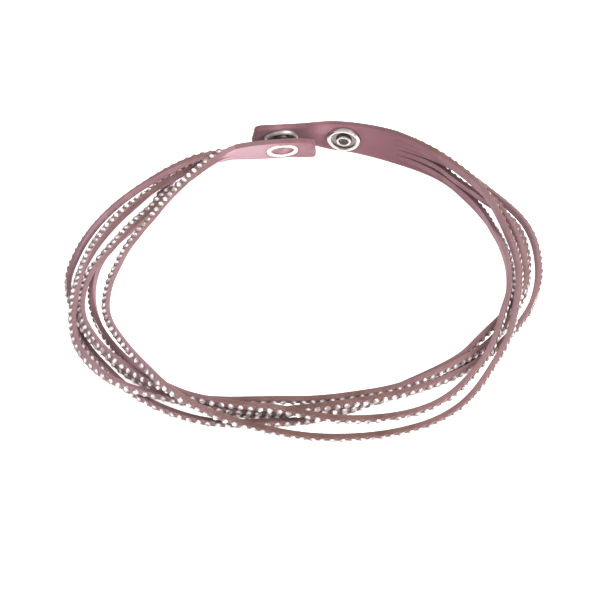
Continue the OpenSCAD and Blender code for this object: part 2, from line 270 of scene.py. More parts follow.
STRAND_6: Rows = (
    (113, 3.75, 1.25, -38),
    (118, 4.2, 1.3, -32),
    (128, 3.4, 1.15, -18),
    (142, 1.2, 1, 0),
    (155, 0.8, 0.95, 0),
    (168, 1.4, 0.95, 0),
    (180, 2.4, 1, -5),
    (192, 3.3, 1.1, -15),
    (202, 3.5, 1.1, -18),
    (214, 2.8, 1.1, -15),
    (228, 2.8, 1, 0),
    (245, 1.2, 0.95, 3),
    (258, -2.2, 0.95, 2),
    (266, -3.6, 0.95, 1),
    (273, -4.8, 0.95, 0),
    (282, -6.9, 0.95, 0),
    (292, -8.2, 0.95, 0),
    (304, -7.4, 0.95, 0),
    (320, -5.3, 0.97, 3),
    (332, -4.5, 1, 6),
    (346, -4, 1, 8),
    (360, -3.4, 1, 8),
    (375, -1.9, 1, 6),
    (388, -0.6, 0.97, 2),
    (400, 1.2, 1, -3),
    (411, 3.4, 1.1, -8),
)
STRAND_ROWS: dict[int, Rows] = dict(
    enumerate((STRAND_1, STRAND_2, STRAND_3, STRAND_4, STRAND_5, STRAND_6), start=1)
)


class Side(Enum):
    """The two faces of the strap that a snap part can sit on."""

    OUTER = 1
    INNER = -1


class Slot(Enum):
    """Names of the record's material slots, passed along with the new pieces."""

    SUEDE = "suede"
    INNER_SUEDE = "inner_suede"
    CRYSTAL = "crystal"


# The strap's route


@dataclass(frozen=True)
class Route:
    """A smooth line through a table of rows, which a tab or a strand follows."""

    rows: Rows

    def _slope(self, index: int) -> list[float]:
        """Change of each column for one degree at a row.

        Args:
            index: Number of the row.

        Returns:
            One slope for each column.
        """
        before = self.rows[max(index - 1, 0)]
        after = self.rows[min(index + 1, len(self.rows) - 1)]
        return [(b - a) / (after[0] - before[0]) for a, b in zip(before, after)]

    def at(self, place: float) -> list[float]:
        """Columns of the table at any place.

        Args:
            place: Degrees round the loop.

        Returns:
            Place, out, height and lean.
        """
        index = 0
        while index < len(self.rows) - 2 and place >= self.rows[index + 1][0]:
            index += 1
        left, right = self.rows[index], self.rows[index + 1]
        step = right[0] - left[0]
        u = (place - left[0]) / step
        slope_left, slope_right = self._slope(index), self._slope(index + 1)
        return [
            (2 * u**3 - 3 * u**2 + 1) * a
            + (u**3 - 2 * u**2 + u) * step * p
            + (3 * u**2 - 2 * u**3) * b
            + (u**3 - u**2) * step * q
            for a, p, b, q in zip(left, slope_left, right, slope_right)
        ]

    def spot(self, place: float) -> Vector:
        """Middle of the strap's section at a place.

        Args:
            place: Degrees round the loop.

        Returns:
            The point, in millimetres.
        """
        _, out, height, _ = self.at(place)
        angle = math.radians(place)
        oval = Vector(((LOOP_X + out) * math.cos(angle), (LOOP_Y + out) * math.sin(angle), height))
        return oval + SHIFT

    def basis(self, place: float) -> Matrix:
        """Frame of the strap at a place: X along it, Y across its width, Z out of its outer face.

        Args:
            place: Degrees round the loop.

        Returns:
            The frame as a matrix, in millimetres.
        """
        first, last = self.rows[0][0], self.rows[-1][0]
        ahead = self.spot(min(place + REACH, last))
        behind = self.spot(max(place - REACH, first))
        along = (ahead - behind).normalized()
        level_out = Vector((along.y, -along.x, 0.0)).normalized()
        level_up = level_out.cross(along)
        *_, degrees = self.at(place)
        lean = math.radians(degrees)
        across = math.cos(lean) * level_up + math.sin(lean) * level_out
        outward = math.cos(lean) * level_out - math.sin(lean) * level_up
        frame_matrix = Matrix((along, across, outward)).transposed().to_4x4()
        frame_matrix.translation = self.spot(place)
        return frame_matrix

    def spaced(self, pitch: float, bare: float) -> list[float]:
        """Places at equal steps of length along a strand, measured from degree to degree.

        Args:
            pitch: Length of one step.
            bare: Least length left free at each end.

        Returns:
            The places, in degrees.
        """
        marks = [SLIT_START + k for k in range(int(SLIT_END - SLIT_START) + 1)]
        runs = [0.0]
        for a, b in zip(marks, marks[1:]):
            runs.append(runs[-1] + (self.spot(b) - self.spot(a)).length)
        steps = int((runs[-1] - 2 * bare) // pitch)
        start = (runs[-1] - steps * pitch) / 2
        places = []
        index = 0
        for k in range(steps + 1):
            run = start + k * pitch
            while runs[index + 1] < run:
                index += 1
            places.append(marks[index] + (run - runs[index]) / (runs[index + 1] - runs[index]))
        return places


def strand_offset(number: int) -> float:
    """How far a strand's slot lies above the strap's middle line."""
    return ((len(STRAND_ROWS) + 1) / 2 - number) * STRAND_PITCH


def strand_route(number: int) -> Route:
    """Route of a strand, from its root at the inner tab to its root at the outer tab.

    Args:
        number: The strand's slot, 1 at the top of the strap to 6 at the bottom.

    Returns:
        The strand's route.
    """
    offset = strand_offset(number)

    def root(row: Row, place: float) -> Row:
        """Moves a tab's end row across the strap to the strand's slot.

        Args:
            row: The tab's row.
            place: The strand's own place for it.

        Returns:
            The strand's row.
        """
        _, out, height, degrees = row
        lean = math.radians(degrees)
        return (place, out + offset * math.sin(lean), height + offset * math.cos(lean), degrees)

    first = root(INNER_TAB_ROWS[-1], SLIT_START)
    last = root(OUTER_TAB_ROWS[0], SLIT_END)
    return Route((first, *STRAND_ROWS[number], last))


# Finishes


class Mix(Enum):
    """Kinds of mix node, with the numbers of its two value sockets and of its result."""

    FLOAT = (2, 3, 0)
    RGBA = (6, 7, 2)


@dataclass(frozen=True)
class NodeSheet:
    """Small helper that adds and joins the nodes of one material."""

    material: Material

    @classmethod
    def named(cls, name: str) -> "NodeSheet":
        """A new material with its own nodes.

        Args:
            name: Name of the material.

        Returns:
            The sheet of the new material.
        """
        material = bpy.data.materials.new(name)
        material.use_nodes = True
        return cls(material)

    @property
    def shader(self) -> Node:
        """The material's main shader."""
        return self.material.node_tree.nodes["Principled BSDF"]

    @staticmethod
    def tune(node: Node, **values: object) -> Node:
        """Sets a node's properties and sockets.

        Args:
            node: The node.
            **values: Properties, or sockets with spaces written as underscores.

        Returns:
            The node.
        """
        for key, value in values.items():
            if hasattr(node, key):
                setattr(node, key, value)
            else:
                node.inputs[key.replace("_", " ")].default_value = value
        return node

    def add(self, kind: str, **values: object) -> Node:
        """Adds a node, given by Blender's name for it, and sets its properties and sockets."""
        return self.tune(self.material.node_tree.nodes.new(kind), **values)

    def join(self, source: NodeSocket, target: NodeSocket) -> None:
        """Links one socket to another."""
        self.material.node_tree.links.new(source, target)

    def mix(
        self,
        kind: Mix,
        share: NodeSocket | float,
        first: NodeSocket,
        second: NodeSocket | tuple[float, ...],
    ) -> NodeSocket:
        """Adds a mix of two values.

        Args:
            kind: Kind of the values.
            share: How much there is of the second value.
            first: Socket of the first value.
            second: Socket of the second value, or the value itself.

        Returns:
            The mix's result.
        """
        node = self.add("ShaderNodeMix", data_type=kind.name)
        first_socket, second_socket, result = kind.value
        for number, source in ((0, share), (first_socket, first), (second_socket, second)):
            if isinstance(source, NodeSocket):
                self.join(source, node.inputs[number])
            else:
                node.inputs[number].default_value = source
        return node.outputs[result]

    def ramp(self, source: NodeSocket, stops: Stops) -> NodeSocket:
        """Adds a colour ramp.

        Args:
            source: Socket that drives the ramp.
            stops: Position and colour of each stop.

        Returns:
            The ramp's colour.
        """
        node = self.add("ShaderNodeValToRGB")
        elements = node.color_ramp.elements
        for element, (position, colour) in zip(elements, (stops[0], stops[-1])):
            element.position = position
            element.color = (*colour, 1.0)
        for position, colour in stops[1:-1]:
            elements.new(position).color = (*colour, 1.0)
        self.join(source, node.inputs["Fac"])
        return node.outputs["Color"]


@dataclass(frozen=True)
class Suede:
    """Napped suede-like face or cut edge of the strap, with painted light that makes it paler and
    painted shade that makes it darker.

    The tabs' and the strands' faces share the colours of the painted light and the painted shade,
    so that they match where they meet. Scales are for a metre.
    """

    name: str
    deep: Colour
    middle: Colour
    light: Colour
    # Colours that painted light and painted shade turn the suede towards
    painted_lit_colour: Colour = (0.38, 0.235, 0.27)
    painted_shade_colour: Colour = (0.165, 0.072, 0.086)
    stops: tuple[float, float, float] = (0.36, 0.5, 0.64)
    nap_height: float = 0.12
    nap_scale: float = 5500.0
    nap_share: float = 0.45
    cloud_scale: float = 160.0
    sheen: float = 0.22
    sheen_tint: Colour = (1.0, 0.82, 0.88)

    def material(self) -> Material:
        """Builds the material.

        Returns:
            The material, with cloudy colour, a fine napped bump and soft sheen. The mesh's own
            attribute paints light and shade: how far the colour turns paler as if lit, up to 1, and
                darker as if
            shaded, down to -1.
        """
        sheet = NodeSheet.named(self.name)
        place = sheet.add("ShaderNodeTexCoord")
        clouds = sheet.add("ShaderNodeTexNoise", Scale=self.cloud_scale, Detail=4.0, Roughness=0.6)
        nap_and_painted_light = sheet.add("ShaderNodeTexNoise", Scale=self.nap_scale, Detail=3.0, Roughness=0.7)
        for texture in (clouds, nap_and_painted_light):
            sheet.join(place.outputs["Object"], texture.inputs["Vector"])
        cloudy = sheet.mix(Mix.FLOAT, self.nap_share, clouds.outputs["Fac"], nap_and_painted_light.outputs["Fac"])
        shades = (self.deep, self.middle, self.light)
        colour = sheet.ramp(cloudy, tuple(zip(self.stops, shades)))
        # Painted light and shade: the attribute mixes in the lit colour above 0 and the shaded
        # colour below 0
        painted_light = sheet.add("ShaderNodeAttribute", attribute_name="painted_light").outputs["Fac"]
        painted_shade_share = sheet.add("ShaderNodeMath", operation="MULTIPLY")
        painted_shade_share.inputs[1].default_value = -1.0
        sheet.join(painted_light, painted_shade_share.inputs[0])
        colour = sheet.mix(Mix.RGBA, painted_light, colour, (*self.painted_lit_colour, 1.0))
        colour = sheet.mix(Mix.RGBA, painted_shade_share.outputs["Value"], colour, (*self.painted_shade_colour, 1.0))
        bump = sheet.add("ShaderNodeBump", Strength=0.6, Distance=self.nap_height * MM)
        sheet.join(nap_and_painted_light.outputs["Fac"], bump.inputs["Height"])
        shader = sheet.tune(
            sheet.shader,
            Roughness=0.95,
            Specular_IOR_Level=0.15,
            Sheen_Weight=self.sheen,
            Sheen_Roughness=0.45,
            Sheen_Tint=(*self.sheen_tint, 1.0),
        )
        sheet.join(colour, shader.inputs["Base Color"])
        sheet.join(bump.outputs["Normal"], shader.inputs["Normal"])
        return sheet.material


TAB_FACE = Suede(
    name="suede_mauve",
    deep=(0.16, 0.064, 0.08),
    middle=(0.22, 0.094, 0.115),
    light=(0.29, 0.14, 0.165),
)
STRAND_FACE = Suede(
    name="suede_strand",
    deep=(0.14, 0.066, 0.07),
    middle=(0.195, 0.097, 0.106),
    light=(0.255, 0.143, 0.153),
)
STRAND_EDGE = Suede(
    name="suede_cut_edge",
    deep=(0.09, 0.047, 0.041),
    middle=(0.128, 0.07, 0.06),
    light=(0.176, 0.105, 0.092),
    painted_lit_colour=(0.25, 0.138, 0.153),
    painted_shade_colour=(0.12, 0.06, 0.06),
)
TAB_EDGE = Suede(
    name="suede_tab_edge",
    deep=(0.12, 0.055, 0.06),
    middle=(0.17, 0.08, 0.087),
    light=(0.23, 0.12, 0.13),
    painted_lit_colour=(0.19, 0.105, 0.112),
    painted_shade_colour=(0.12, 0.06, 0.06),
)


@dataclass(frozen=True)
class CrystalFinish:
    """Clear faceted crystal with a mirror back, whose facets carry painted light, shade and glints.
    """

    name: str = "crystal_clear"
    stops: Stops = (
        (0.0, (0.06, 0.048, 0.044)),
        (0.3, (0.18, 0.145, 0.135)),
        (0.6, (0.4, 0.345, 0.325)),
        (0.85, (0.92, 0.91, 0.89)),
    )

    def material(self) -> Material:
        """Builds the material.

        Returns:
            The material; the facets' painted light, shade and glints come from the mesh's own
            attribute.
        """
        sheet = NodeSheet.named(self.name)
        painted_facet_light = sheet.add("ShaderNodeAttribute", attribute_name="painted_facet_light")
        colour = sheet.ramp(painted_facet_light.outputs["Fac"], self.stops)
        shader = sheet.tune(sheet.shader, Metallic=0.1, Roughness=0.12, Specular_IOR_Level=0.35)
        sheet.join(colour, shader.inputs["Base Color"])
        return sheet.material


@dataclass(frozen=True)
class Plated:
    """Plated metal of a snap part made round on a lathe, with painted highlights on its rims and
    painted shade in its hollows.

    Its smoothest and roughest spots are given as shares of its roughness.
    """

    name: str
    axis: Matrix
    shades: Pairs
    roughness: float
    # Colours of a painted highlight on a rim and of painted shade in a hollow
    bright: Colour = (0.76, 0.73, 0.7)
    hollow_shade_colour: Colour = (0.13, 0.1, 0.09)
    reach: float = 5.0
    marks_scale: float = 1400.0
    smoothest: float = 0.6
    roughest: float = 1.5

    def tint(self, shade: float) -> Colour:
        """Colour between painted shade in a hollow, at 0, and a painted highlight on a rim, at 1.
        """
        red, green, blue = (low + (high - low) * shade for low, high in zip(self.hollow_shade_colour, self.bright))
        return red, green, blue

    def material(self) -> Material:
        """Builds the material.

        Returns:
            The material, whose painted light and shade follow the distance from the snap's axis,
            with faint marks.
        """
        sheet = NodeSheet.named(self.name)
        place = sheet.add("ShaderNodeTexCoord")
        inward = self.axis.inverted()
        centred = sheet.add(
            "ShaderNodeMapping",
            vector_type="POINT",
            Location=inward.translation * MM,
            Rotation=inward.to_euler(),
        )
        level = sheet.add("ShaderNodeVectorMath", operation="MULTIPLY")
        level.inputs[1].default_value = (1.0, 1.0, 0.0)
        radius = sheet.add("ShaderNodeVectorMath", operation="LENGTH")
        share = sheet.add("ShaderNodeMapRange", From_Max=self.reach * MM)
        sheet.join(place.outputs["Object"], centred.inputs["Vector"])
        sheet.join(centred.outputs["Vector"], level.inputs[0])
        sheet.join(level.outputs["Vector"], radius.inputs[0])
        sheet.join(radius.outputs["Value"], share.inputs["Value"])
        stops = tuple((r / self.reach, self.tint(shade)) for r, shade in self.shades)
        colour = sheet.ramp(share.outputs["Result"], stops)
        marks = sheet.add("ShaderNodeTexNoise", Scale=self.marks_scale, Detail=5.0, Roughness=0.65)
        spread = sheet.add(
            "ShaderNodeMapRange",
            To_Min=self.roughness * self.smoothest,
            To_Max=self.roughness * self.roughest,
        )
        sheet.join(place.outputs["Object"], marks.inputs["Vector"])
        sheet.join(marks.outputs["Fac"], spread.inputs["Value"])
        shader = sheet.tune(sheet.shader, Metallic=1.0)
        sheet.join(spread.outputs["Result"], shader.inputs["Roughness"])
        sheet.join(colour, shader.inputs["Base Color"])
        return sheet.material


@dataclass(frozen=True)
class Finishes:
    """Materials of the suede and the crystals."""

    tab_face: Material
    tab_edge: Material
    strand_face: Material
    strand_edge: Material
    crystal: Material

    @classmethod
    def mixed(cls) -> "Finishes":
        """Builds every finish once.

        Returns:
            The finishes.
        """
        return cls(
            tab_face=TAB_FACE.material(),
            tab_edge=TAB_EDGE.material(),
            strand_face=STRAND_FACE.material(),
            strand_edge=STRAND_EDGE.material(),
            crystal=CrystalFinish().material(),
        )


# Modelling helpers


def only(*objects: Object) -> None:
    """Selects some objects alone and makes the first one active.

    Args:
        *objects: The objects.
    """
    bpy.ops.object.select_all(action="DESELECT")
    for item in objects:
        item.select_set(True)
    bpy.context.view_layer.objects.active = objects[0]


def apply_modifiers(piece: Object) -> None:
    """Applies every modifier of a piece, in order.

    Args:
        piece: The piece.
    """
    only(piece)
    for modifier in list(piece.modifiers):
        bpy.ops.object.modifier_apply(modifier=modifier.name)


def finish_piece(piece: Object, slot: Slot, *nodes: str) -> None:
    """Attaches a finished piece to the root body, hides the CAD nodes that it stands for and logs
    its faces.

    Args:
        piece: The piece.
        slot: Not used.
        *nodes: CAD nodes that it stands for.
    """
    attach(piece, "root")
    if nodes:
        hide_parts(*nodes)
    LOG.info("%s: %d faces", piece.name, len(piece.data.polygons))


# The strap


@dataclass
class SuedeStrip:
    """A flat strip of suede bent along a route.

    Its field of painted light holds pairs of a place and of the light and shade painted there: 1
    where the colour is painted paler as if lit, 0 where it is plain and -1 where it is painted
    darker as if shaded. Steps and reaches along it are in degrees, of which one takes up a
    millimetre of strap.
    Its edges are rounded less near a root, down to a least share of the full rounding.
    """

    name: str
    route: Route
    start: float
    stop: float
    width: float
    roots: tuple[float, ...]
    painted_light: Pairs
    thickness: float = STRAP_THICKNESS
    step: float = 1.0
    across: int = 3
    edge_round: float = 0.16
    edge_faces: int = 2
    least_round: float = 0.15
    sharp_angle: float = 40.0
    smooth_angle: float = 50.0
    root_length: float = 12.0
    end_reach: float = 0.3

    def from_root(self, place: float) -> float:
        """Nearness to a root: 0 at the root itself, 1 where the strip runs free.

        Args:
            place: Degrees round the loop.

        Returns:
            The share of the root's length that lies between.
        """
        return min([1.0] + [abs(place - root) / self.root_length for root in self.roots])

    def half_width(self, place: float) -> float:
        """Half of the strip's width at a place."""
        return self.width / 2

    def nap_and_painted_light(self, place: float) -> float:
        """Painted light and shade at a place.

        Args:
            place: Degrees round the loop.

        Returns:
            From 1, painted light, through 0, plain, to -1, painted shade.
        """
        for (start, low), (stop, high) in zip(self.painted_light, self.painted_light[1:]):
            if start <= place <= stop:
                return low + (high - low) * (place - start) / (stop - start)
        return self.painted_light[0][1] if place < self.painted_light[0][0] else self.painted_light[-1][1]

    def basis(self, place: float) -> Matrix:
        """Frame of the strip at a place, in millimetres."""
        return self.route.basis(place)

    def bend(self, piece: Object) -> None:
        """Lays a flat grid along the route, with one frame for the vertices of each station.

        Args:
            piece: The grid, one unit long and wide.
        """
        frames: dict[float, Matrix] = {}
        shades = []
        wall = piece.vertex_groups.new(name="wall")
        for vertex in piece.data.vertices:
            place = self.start + (vertex.co.x + 0.5) * (self.stop - self.start)
            shades.append(self.nap_and_painted_light(place))
            thinned = 1 + (self.thickness / STRAP_THICKNESS - 1) * self.from_root(place)
            wall.add([vertex.index], thinned, "REPLACE")
            station = round(place, PLACE_DIGITS)
            if station not in frames:
                frames[station] = self.basis(place)
            side = vertex.co.y * 2 * self.half_width(place)
            vertex.co = (frames[station] @ Vector((0.0, side, 0.0))) * MM
        # Painted light and shade of each vertex, which the suede materials mix into their colour
        nap_and_painted_light = piece.data.attributes.new("painted_light", "FLOAT", "POINT")
        nap_and_painted_light.data.foreach_set("value", shades)

    def build(self, face: Material, edge: Material) -> Object:
        """Makes the strip: a grid is laid along the route, thickened and softened.

        Args:
            face: Material of the two faces.
            edge: Material of the cut edges.

        Returns:
            The strip.
        """
        bpy.ops.object.select_all(action="DESELECT")
        stations = round((self.stop - self.start) / self.step)
        bpy.ops.mesh.primitive_grid_add(
            x_subdivisions=stations, y_subdivisions=self.across, size=1.0
        )
        piece = bpy.context.object
        piece.name = piece.data.name = self.name
        self.bend(piece)
        piece.data.materials.append(face)
        piece.data.materials.append(edge)
        solidify = piece.modifiers.new("thickness", "SOLIDIFY")
        solidify.thickness = STRAP_THICKNESS * MM
        solidify.vertex_group = "wall"
        solidify.offset = 0.0
        solidify.use_even_offset = True
        solidify.material_offset_rim = 1
        apply_modifiers(piece)
        self.square_ends(piece)
        self.weigh_edges(piece)
        self.soften(piece)
        return piece

    def square_ends(self, piece: Object) -> None:
        """Flattens the strip's ends at its roots, where it lies flush against the next piece.

        Args:
            piece: The strip.
        """
        for root in self.roots:
            end = self.basis(root)
            inward = end.inverted()
            for vertex in piece.data.vertices:
                corner = inward @ (vertex.co / MM)
                if abs(corner.x) < self.end_reach * self.step and corner.length < self.root_length:
                    corner.x = 0.0
                    vertex.co = (end @ corner) * MM

    def weigh_edges(self, piece: Object) -> None:
        """Marks the edges to round: all sharp ones, less near a root and none at the root itself.

        Args:
            piece: The strip.
        """
        mesh = piece.data
        ends = [self.basis(root).inverted() for root in self.roots]
        beside: dict[tuple[int, int], list[Vector]] = {}
        for face in mesh.polygons:
            for key in face.edge_keys:
                beside.setdefault(key, []).append(face.normal)
        weights = mesh.attributes.new("bevel_weight_edge", "FLOAT", "EDGE")
        sharp = math.radians(self.sharp_angle)
        for edge in mesh.edges:
            normals = beside[edge.key]
            if len(normals) < 2 or normals[0].angle(normals[1]) < sharp:
                continue
            share = 1.0
            for end in ends:
                corners = [end @ (mesh.vertices[k].co / MM) for k in edge.vertices]
                if max(corner.length for corner in corners) < self.root_length:
                    away = max(abs(corner.x) for corner in corners)
                    share = min(share, away / self.root_length)
                    if away < self.end_reach * self.step:
                        share = 0.0
            weights.data[edge.index].value = max(share, self.least_round) if share > 0 else 0.0

    def soften(self, piece: Object) -> None:
        """Rounds the marked edges and smooths the faces.

        Args:
            piece: The strip.
        """
        bevel = piece.modifiers.new("soft_edges", "BEVEL")
        bevel.width = self.edge_round * MM
        bevel.segments = self.edge_faces
        bevel.limit_method = "WEIGHT"
        apply_modifiers(piece)
        bpy.ops.object.shade_smooth_by_angle(angle=math.radians(self.smooth_angle))


@dataclass
class SuedeTab(SuedeStrip):
    """A solid end of the strap, with rounded corners at its free end and seats for the snaps."""

    step: float = 0.25
    across: int = 6
    free_end: float = 0.0
    corner: float = 2.0
    seat_depth: float = 0.2
    seat_sides: int = 48
    seat_cutter: float = 2.0
    prongs: int = 5
    prong_hole: float = 1.0
    hole_sides: int = 12
    hole_cutter: float = 3.0

    def half_width(self, place: float) -> float:
        """Half of the tab's width at a place; it narrows round the free end's corners.

        Args:
            place: Degrees round the loop.

        Returns:
            The half width, in millimetres.
        """
        short = min(max(self.corner - abs(place - self.free_end), 0.0), self.corner)
        full = super().half_width(place)
        return full - self.corner + math.sqrt(self.corner**2 - short**2)

    def cut_seat(self, piece: Object, matrix: Matrix, side: Side, diameter: float) -> None:
        """Presses a flat round seat into one face of the tab.

        Args:
            piece: The tab.
            matrix: Frame of the snap.
            side: The face.
            diameter: Diameter of the seat.
        """
        middle = side.value * (self.thickness / 2 - self.seat_depth + self.seat_cutter / 2)
        centre = (0.0, 0.0, middle)
        self._cut(piece, matrix, centre, diameter / 2, self.seat_cutter, self.seat_sides)

    def cut_prong_holes(self, piece: Object, matrix: Matrix, circle: float) -> None:
        """Punches the holes of the prongs through the tab.

        Args:
            piece: The tab.
            matrix: Frame of the snap.
            circle: Radius of the prongs' circle.
        """
        radius = self.prong_hole / 2
        for k in range(self.prongs):
            angle = math.radians(90 + 360 * k / self.prongs)
            centre = (circle * math.cos(angle), circle * math.sin(angle), 0.0)
            self._cut(piece, matrix, centre, radius, self.hole_cutter, self.hole_sides)

    @staticmethod
    def _cut(
        piece: Object,
        matrix: Matrix,
        centre: tuple[float, float, float],
        radius: float,
        depth: float,
        sides: int,
    ) -> None:
        """Cuts a cylinder out of a piece.

        Args:
            piece: The piece.
            matrix: Frame that the cylinder stands in.
            centre: Middle of the cylinder in that frame.
            radius: Its radius.
            depth: Its length.
            sides: Its sides.
        """
        bpy.ops.object.select_all(action="DESELECT")
        bpy.ops.mesh.primitive_cylinder_add(vertices=sides, radius=radius * MM, depth=depth * MM)
        cutter = bpy.context.object
        stand = matrix @ Matrix.Translation(centre)
        stand.translation = stand.translation * MM
        cutter.data.transform(stand)
        cut = piece.modifiers.new("cut", "BOOLEAN")
        cut.operation = "DIFFERENCE"
        cut.solver = "EXACT"
        cut.object = cutter
        apply_modifiers(piece)
        bpy.data.objects.remove(cutter, do_unlink=True)


@dataclass
class SuedeStrand(SuedeStrip):
    """One of the slit strands, whose roots lie flush against the ends of the tabs."""

    offset: float = 0.0
    root_width: float = 1.98

    def half_width(self, place: float) -> float:
        """Half of the strand's width at a place; it fills its slit's width at its roots."""
        share = self.from_root(place)
        return (self.root_width + (self.width - self.root_width) * share) / 2

    def basis(self, place: float) -> Matrix:
        """Frame of the strand at a place; near a root it slides along so that it starts at the tab.

        Args:
            place: Degrees round the loop.

        Returns:
            The frame, in millimetres.
        """
        slot = Matrix.Translation((0.0, self.offset, 0.0))
        for root, rows, tab_root in (
            (SLIT_START, INNER_TAB_ROWS, SLIT_START),
            (SLIT_END, OUTER_TAB_ROWS, OUTER_ROOT),
        ):
            end = Route(rows).basis(tab_root) @ slot
            share = min(abs(place - root) / self.root_length, 1.0)
            if share < AT_ROOT:
                return end
            beyond = (end.inverted() @ self.route.spot(root)).x
            place -= beyond * (1 - share)
        return self.route.basis(place)


@dataclass
class Strap:
    """The suede strap: two tabs and six strands."""

    width: float = 12.0
    strand_width: float = 1.8
    ring: float = 9.2
    ring_hole: float = 6.2
    socket: float = 9.6
    tab_spacing: float = 4.4
    play: float = 0.05
    # Painted light and shade along the tabs and the strands: places in degrees, and from 1, painted
    # paler, through 0, plain, to -1, painted darker
    inner_painted_light: Pairs = ((86.0, 0.0), (92.0, 0.1), (103.0, 0.95))
    outer_painted_light: Pairs = ((65.0, -0.95), (75.0, -0.6), (84.0, 0.0))
    strand_painted_light: Pairs = (
        (110.0, 0.95), (114.0, 0.85), (122.0, 0.2), (150.0, 0.2), (180.0, 0.6),
        (225.0, 0.6), (255.0, 0.0), (290.0, 0.0), (315.0, 0.5), (365.0, 0.5),
        (395.0, 0.3), (410.0, 0.1), (418.0, -0.6), (425.0, -0.95),
    )

    @property
    def prong_circle(self) -> float:
        """Radius of the circle that the prongs stand on, halfway across a ring."""
        return (self.ring + self.ring_hole) / 4

    def build(self, finishes: Finishes) -> None:
        """Makes the strap's pieces.

        Args:
            finishes: The materials.
        """
        self.build_inner_tab(finishes)
        self.build_outer_tab(finishes)
        for number in STRAND_ROWS:
            strand = SuedeStrand(
                name=f"suede_strand_{number}",
                route=strand_route(number),
                start=SLIT_START,
                stop=SLIT_END,
                width=self.strand_width,
                thickness=STRAND_THICKNESS,
                roots=(SLIT_START, SLIT_END),
                painted_light=self.strand_painted_light,
                offset=strand_offset(number),
            )
            piece = strand.build(finishes.strand_face, finishes.strand_edge)
            finish_piece(piece, Slot.SUEDE, f"strand_{number}")

    def plan_tab(
        self, name: str, rows: Rows, root: float, free_end: float, painted_light: Pairs
    ) -> SuedeTab:
        """Plans a tab.

        Args:
            name: Name of the piece.
            rows: Table of its route.
            root: Place at which it turns into strands.
            free_end: Place at which it ends.
            painted_light: Light and shade painted on its suede.

        Returns:
            The tab, not built yet.
        """
        return SuedeTab(
            name=name,
            route=Route(rows),
            start=min(root, free_end),
            stop=max(root, free_end),
            width=self.width,
            roots=(root,),
            painted_light=painted_light,
            free_end=free_end,
        )

    def build_inner_tab(self, finishes: Finishes) -> None:
        """Makes the tab that carries the stud.

        Args:
            finishes: The materials.
        """
        free_end = INNER_TAB_ROWS[0][0]
        tab = self.plan_tab(
            "suede_inner_tab", INNER_TAB_ROWS, SLIT_START, free_end, self.inner_painted_light
        )
        piece = tab.build(finishes.tab_face, finishes.tab_edge)
        snap = tab.basis(CLOSED_PLACE)
        for side in Side:
            tab.cut_seat(piece, snap, side, self.ring + 2 * self.play)
        tab.cut_prong_holes(piece, snap, self.prong_circle)
        finish_piece(piece, Slot.INNER_SUEDE, "inner_tab")

    def build_outer_tab(self, finishes: Finishes) -> None:
        """Makes the tab that carries the two sockets.

        Args:
            finishes: The materials.
        """
        free_end = OUTER_TAB_ROWS[-1][0]
        tab = self.plan_tab(
            "suede_outer_tab", OUTER_TAB_ROWS, OUTER_ROOT, free_end, self.outer_painted_light
        )
        piece = tab.build(finishes.tab_face, finishes.tab_edge)
        lift = Matrix.Translation((0.0, 0.0, self.tab_spacing))
        for snap in (Route(INNER_TAB_ROWS).basis(CLOSED_PLACE) @ lift, tab.basis(SPARE_PLACE)):
            tab.cut_seat(piece, snap, Side.OUTER, self.ring + 2 * self.play)
            tab.cut_seat(piece, snap, Side.INNER, self.socket + 2 * self.play)
            tab.cut_prong_holes(piece, snap, self.prong_circle)
        finish_piece(piece, Slot.SUEDE, "outer_tab")


# The crystals


@dataclass(frozen=True)
class Glint:
    """Brightness of a ring of facets: in shade, what full light adds, and how far it strays."""

    shade: float
    lit: float
    stray: float

    def light(self, facing: float, chance: random.Random) -> float:
        """Brightness of one facet, which faces the light from 0, not at all, to 1, fully."""
        return self.shade + self.lit * facing + chance.uniform(-self.stray, self.stray)


